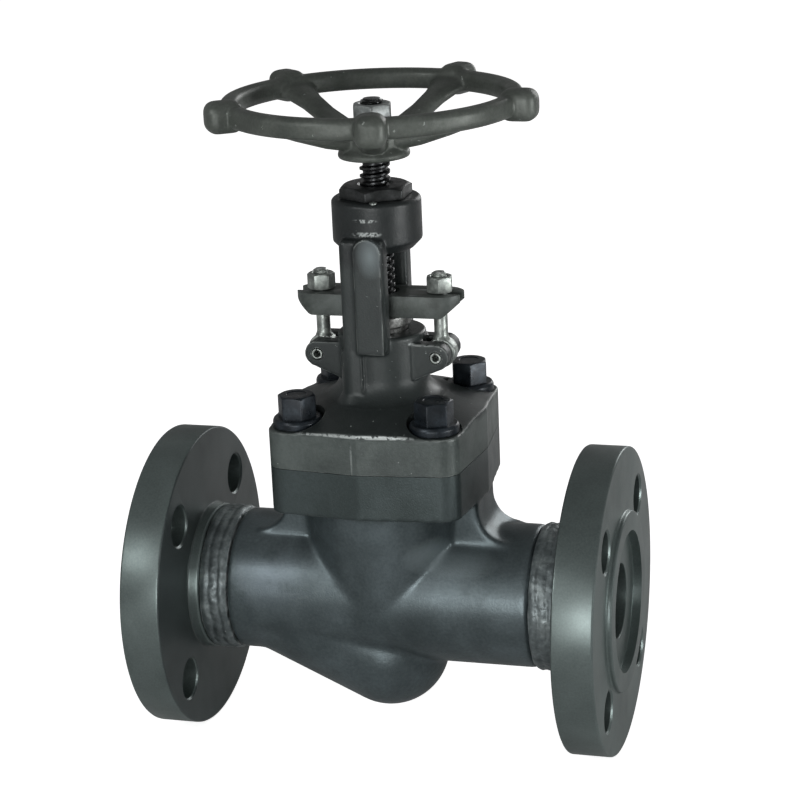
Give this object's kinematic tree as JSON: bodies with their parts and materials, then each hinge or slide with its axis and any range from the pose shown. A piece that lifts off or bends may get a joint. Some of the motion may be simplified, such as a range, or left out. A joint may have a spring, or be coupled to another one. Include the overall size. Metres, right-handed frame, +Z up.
{
  "type": "globe valve",
  "caption": "Flanged straight globe valve with a bolted bonnet, outside screw and yoke, swing-bolt gland and knobbed handwheel; the stem and wheel rise as they turn.",
  "frame": {"origin": "where the stem axis crosses the pipe axis, at the middle of the valve", "axes": "+X along the pipe towards the outlet, +Z up the stem, -Y towards the front"},
  "size_m": [0.26, 0.1691, 0.357],
  "materials": {
    "flange_steel": "machined, lightly greyed",
    "forged_steel": "forged scale, dark slate",
    "weld_bead": "ground weld bead",
    "bonnet_paint": "thin grey-green paint over forging",
    "bolt_black": "blue-black oxide",
    "zinc_plate": "zinc plated",
    "stem_steel": "oiled stainless, threaded",
    "yoke_nut_metal": "dark oiled",
    "trim_steel": "ground stainless trim",
    "graphite": "pressed graphite",
    "wheel_iron": "grey-green primer over casting"
  },
  "bodies": {
    "valve_body": {"body": "forged_steel", "inlet_flange": "flange_steel", "outlet_flange": "flange_steel", "inlet_weld": "weld_bead", "outlet_weld": "weld_bead", "seat_ring": "trim_steel", "body_gasket": "graphite", "bonnet": "bonnet_paint", "backseat_bush": "trim_steel", "gland_follower": "trim_steel", "gland_flange": "bonnet_paint", "yoke_nut": "yoke_nut_metal", "yoke_nut_grub_screw": "zinc_plate", "bonnet_bolt_1": "bolt_black", "bonnet_bolt_2": "bolt_black", "bonnet_bolt_3": "bolt_black", "bonnet_bolt_4": "bolt_black", "packing_ring_1": "graphite", "packing_ring_2": "graphite", "packing_ring_3": "graphite", "packing_ring_4": "graphite", "packing_ring_5": "graphite", "eyebolt_pin_left": "zinc_plate", "eyebolt_pin_right": "zinc_plate"},
    "disc_assembly": {"disc": "trim_steel", "disc_nut": "trim_steel"},
    "stem_and_handwheel": {"stem": "stem_steel", "handwheel": "wheel_iron", "handwheel_washer": "zinc_plate", "handwheel_nut": "wheel_iron"},
    "left_eyebolt": {"gland_eyebolt_left": "zinc_plate"},
    "right_eyebolt": {"gland_eyebolt_right": "zinc_plate"},
    "left_gland_nut": {"gland_nut_left": "zinc_plate"},
    "right_gland_nut": {"gland_nut_right": "zinc_plate"}
  },
  "joints": [
    {"name": "disc_lift", "type": "slide", "parent": "valve_body", "child": "disc_assembly", "axis": [0, 0, 1], "range_m": [0, 0.012]},
    {"name": "handwheel_turn", "type": "hinge", "parent": "disc_assembly", "child": "stem_and_handwheel", "pos_m": [0, 0, 0.24], "axis": [0, 0, 1], "range_deg": [0, 1080]},
    {"name": "eyebolt_left_swing", "type": "hinge", "parent": "valve_body", "child": "left_eyebolt", "pos_m": [-0.0323, 0, 0.1345], "axis": [0, -1, 0], "range_deg": [0, 34]},
    {"name": "eyebolt_right_swing", "type": "hinge", "parent": "valve_body", "child": "right_eyebolt", "pos_m": [0.0323, 0, 0.1345], "axis": [0, 1, 0], "range_deg": [0, 34]},
    {"name": "gland_nut_left_travel", "type": "slide", "parent": "left_eyebolt", "child": "left_gland_nut", "axis": [0, 0, 1], "range_m": [0, 0.006]},
    {"name": "gland_nut_right_travel", "type": "slide", "parent": "right_eyebolt", "child": "right_gland_nut", "axis": [0, 0, 1], "range_m": [0, 0.006]}
  ],
  "couplings": [
    {"joint": "disc_lift", "follows": "handwheel_turn", "m_per_rad": 0.0006366},
    {"joint": "gland_nut_left_travel", "follows": "eyebolt_left_swing", "m_per_rad": 0.01},
    {"joint": "gland_nut_right_travel", "follows": "eyebolt_right_swing", "m_per_rad": 0.01}
  ]
}
